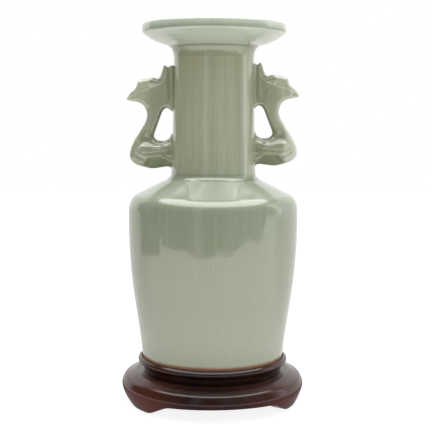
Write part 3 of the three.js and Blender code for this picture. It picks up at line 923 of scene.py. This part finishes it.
# Flange, apron and feet: for each angle the profile runs from that angle's lower edge up the rounded
# side, over the top, down the inside and back underneath
def standBase():
    size = standSizes
    sideRows, insideRows, underRows = size["rows"]
    foot, (radius, level), turnOver, top = size["footRadius"], size["widest"], size["turnOver"], size["top"]
    angle = np.linspace(0, 2 * math.pi, size["turns"], endpoint=False)
    edge = apronEdge(angle)
    inner = spigotRadius + ringSizes["spigotGap"]
    side = joinCurves(
        bezier([(foot, 0), (radius, 0.78 * level), (radius, level)], 40),
        bezier([(radius, level), (radius, level + 2.57), turnOver], 20),
        bezier([turnOver, (68.39, 19.74), size["edge"]], 12))
    insideFoot = foot - size["footWidth"]
    insideTop = size["arch"] + size["hollowRise"]
    crown = densify(joinCurves(
        side[-1], (size["topRadius"] + 0.3, top - 0.1), (size["topRadius"] - 0.2, top),
        (inner, top), (inner, insideTop)), 1.0)[1:]
    s = np.linspace(0, 1, sideRows)[:, None]
    heights = edge + (size["edge"][1] - edge) * s
    sideRadius = np.interp(heights, side[:, 1], side[:, 0])
    inHeights = insideTop + (edge - insideTop) * np.linspace(0, 1, insideRows)[1:, None]
    inRadius = inner + (insideFoot - inner) * (insideTop - inHeights) / insideTop
    sideRadius[0] -= size["arris"]
    under = np.linspace(0, 1, underRows)[1:-1, None]
    underRadius = inRadius[-1] + (sideRadius[0] - inRadius[-1]) * under
    crown = np.repeat(crown[:, None], len(angle), axis=1)
    rings = np.vstack([sideRadius, crown[..., 0], inRadius, underRadius])
    levels = np.vstack([heights, crown[..., 1], inHeights, np.repeat(edge[None], underRows - 2, axis=0)])
    grid = np.stack([rings * np.cos(angle), rings * np.sin(angle), levels], axis=-1)
    gridMesh("standBase", grid, "stand_base", standFinish, paintedRedSheen(grid, 1.0), rowsRound=True)


seatRing()
seatBoard()
standBase()


# Studio: a white paper floor, a white backdrop and soft boxes. The room in front, behind the
# camera, is left dark, and the glaze mirrors it. The room is seen in reflections only.
studio = {
    "paper": "eeeeec",
    "mirroredPaper": "fffafd",  # a warm white, which shows only where the glaze mirrors it
    "floorShade": 0.3,  # share of its own shading that the camera sees
    "floorWhite": 1.25,
    "frontGlow": 2.1,  # brightness of the floor as the glaze mirrors it, in front and behind
    "backGlow": 1.1,
    "ambient": 0.62,
    "darkRoom": 0.12,
    "roomRadius": 2.4,  # metres
    "roomMiddle": 0.16,
    # Overhead softbox: elevation in degrees and brightness
    "softbox": [(46, 3.6), (52, 4.2), (70, 4.8), (87, 5.0)],
}
# Edge of the floor: degrees from straight ahead and metres. It reaches far back and to the sides,
# and in front it is uneven.
floorEdge = [
    (-180, 2.3), (-113, 2.3), (-111, 0.62), (-88, 0.606), (-73, 0.597), (-72, 1.0), (-70.5, 1.0),
    (-69.5, 0.76), (-49.4, 0.698), (-35.3, 0.632), (-20, 0.551), (-1.7, 0.552), (9.3, 0.612),
    (26.1, 0.635), (35.4, 0.736), (45.7, 0.875), (56.4, 0.813), (67.1, 0.921), (75.4, 2.3), (180, 2.3),
]
# Parts of the room on the right: brightness; azimuth where each begins, is full, fades and ends;
# elevation where it fades and ends
roomParts = {
    "wall": (1.05, (74, 96, 120, 124), (38, 41)),
    "strip": (1.2, (92.5, 95.5, 102.5, 105.5), (38, 41)),
    "plateau": (0.25, (10, 14, 68, 72), (42, 46)),
}
# Soft boxes that light the object: place and size in metres, and radiance
lamps = {
    "topSoftbox": ((0.0, 0.1, 1.25), (1.3, 0.8), 3.2),
    "leftSoftbox": ((-1.1, -0.85, 0.7), (0.5, 0.7), 1.4),
    "rightSoftbox": ((1.2, -0.6, 0.7), (0.6, 0.8), 2.4),
}
lampTarget = (0, 0, 0.15)  # metres


def paperFloor():
    material, tree = newMaterial("whitePaper")
    ray = addNode(tree, "LightPath")
    camera, glossy = ray.outputs["Is Camera Ray"], ray.outputs["Is Glossy Ray"]
    lit = addNode(tree, "BsdfDiffuse", inputs={"Color": linearColour(studio["paper"])})
    mirrored = addNode(tree, "Attribute", {"attribute_name": "glow"}).outputs["Fac"]
    glow = addNode(tree, "Mix", inputs={0: glossy, 2: studio["floorWhite"], 3: mirrored})
    tint = addNode(tree, "Mix", {"data_type": "RGBA"}, {
        "Factor": glossy, "A": (1, 1, 1, 1), "B": linearColour(studio["mirroredPaper"])})
    white = addNode(tree, "Emission", inputs={
        "Color": tint.outputs["Result"], "Strength": glow.outputs[0]})
    share = addNode(tree, "Math", {"operation": "MULTIPLY_ADD", "use_clamp": True}, {
        0: camera, 1: 1 - studio["floorShade"], 2: glossy})
    mix = addNode(tree, "MixShader", inputs={
        0: share.outputs[0], 1: lit.outputs["BSDF"], 2: white.outputs["Emission"]})
    finishMaterial(tree, mix.outputs["Shader"])
    return material


# Rays from under the vase out to the floor's edge, denser near the vase. The mirrored brightness
# falls from front to back and towards the sides, and close to the stand.
def addFloor():
    angle = np.linspace(-180, 180, 720, endpoint=False)
    radius = np.linspace(0.01, 1, 90)[:, None] ** 2 * np.interp(angle, *np.array(floorEdge).T)
    around = np.radians(angle)
    x, y = radius * np.sin(around), -radius * np.cos(around)
    near = 0.2 + ramp(radius, 0.1, 0.16, 0.8)
    sideways = ramp(np.abs(angle), 20, 75, np.where(angle < 0, 0.2, 0.1))
    along = studio["frontGlow"] + ramp(y, -0.1, 0.12, studio["backGlow"] - studio["frontGlow"])
    points = np.stack([x, y, np.zeros(x.shape)], axis=-1)
    floor = gridObject("floor", points, paperFloor(), {"glow": along * near * (1 - sideways)})


# Brightness of the room by direction, in degrees: azimuth from straight ahead to the right, and
# elevation. A large softbox hangs overhead, a backdrop stands behind, a pale wall on the right.
def roomGlow(azimuth, elevation):
    behind = smoothStep(np.abs(azimuth), 140, 158)
    overhead = np.interp(elevation, *np.array(studio["softbox"]).T) * smoothStep(elevation, 45, 49)
    glow = studio["darkRoom"] + overhead * (1 - behind) + ramp(elevation, 42, 45, 0.9) * behind
    glow = glow + ramp(np.abs(azimuth), 120, 124, 0.95) * (1 - smoothStep(elevation, 34, 37))  # backdrop
    glow = glow + 0.28 * window(elevation, 35.5, 38.5, 40.5, 43.5) * behind  # gap above it
    glow = glow + 0.6 * bump(azimuth + 20, 6) * (1 - smoothStep(elevation, 42, 46))  # streak on the left
    for brightness, across, upwards in roomParts.values():
        glow = glow + brightness * window(azimuth, *across) * (1 - smoothStep(elevation, *upwards))
    return glow


# A sphere round the vase, open below, that only reflections see
def addRoom():
    material, tree = newMaterial("roomLight")
    glow = addNode(tree, "Attribute", {"attribute_name": "glow"}).outputs["Fac"]
    emission = addNode(tree, "Emission", inputs={"Strength": glow})
    finishMaterial(tree, emission.outputs["Emission"])
    azimuth = np.linspace(-180, 180, 360, endpoint=False)[None, :]
    elevation = np.linspace(-80, 90, 171)[:, None]
    around, up = np.radians(azimuth), np.radians(elevation)
    radius = studio["roomRadius"]
    points = np.stack([
        radius * np.cos(up) * np.sin(around), -radius * np.cos(up) * np.cos(around),
        studio["roomMiddle"] + radius * np.sin(up) * np.ones(around.shape)], axis=-1)
    room = gridObject("room", points, material, {"glow": roomGlow(azimuth, elevation)})
    for ray in ("camera", "diffuse", "shadow", "transmission"):
        setattr(room, "visible_" + ray, False)


# A rectangle lamp turned towards the vase; its power is radiance times pi times area
def addLamp(name, place, size, radiance):
    data = bpy.data.lights.new(name, "AREA")
    data.shape = "RECTANGLE"
    data.size, data.size_y = size
    data.energy = radiance * math.pi * size[0] * size[1]
    lamp = bpy.data.objects.new(name, data)
    lamp.location = place
    lamp.visible_glossy = False
    aim = np.array(lampTarget) - np.array(place)
    lamp.rotation_euler = (
        math.atan2(math.hypot(aim[0], aim[1]), -aim[2]), 0, math.atan2(aim[1], aim[0]) - math.pi / 2)
    scene.collection.objects.link(lamp)


def addWorld():
    world = bpy.data.worlds.new("studio")
    scene.world = world
    world.use_nodes = True
    tree = world.node_tree
    tree.nodes.clear()
    ray = addNode(tree, "LightPath")
    plain, white = (
        addNode(tree, "Background", inputs={
            "Color": (1, 1, 1, 1), "Strength": strength}).outputs["Background"]
        for strength in (studio["ambient"], 1.0))
    seen = addNode(tree, "MixShader", inputs={
        0: ray.outputs["Is Camera Ray"], 1: plain, 2: white})
    addNode(tree, "OutputWorld", inputs={"Surface": seen.outputs["Shader"]})


def addCamera():
    place = cameraPlace
    data = bpy.data.cameras.new("camera")
    data.lens = place["lens"]
    camera = bpy.data.objects.new("camera", data)
    camera.location = (place["x"], -place["distance"], place["height"])
    camera.rotation_euler = (math.pi / 2 - place["pitchDown"], math.radians(place["roll"]), 0)
    scene.collection.objects.link(camera)
    scene.camera = camera


addFloor()
addRoom()
for lampName, (lampPlace, lampSize, lampRadiance) in lamps.items():
    addLamp(lampName, lampPlace, lampSize, lampRadiance)
addWorld()
addCamera()
scene.view_settings.view_transform = "Standard"
print("studio set")
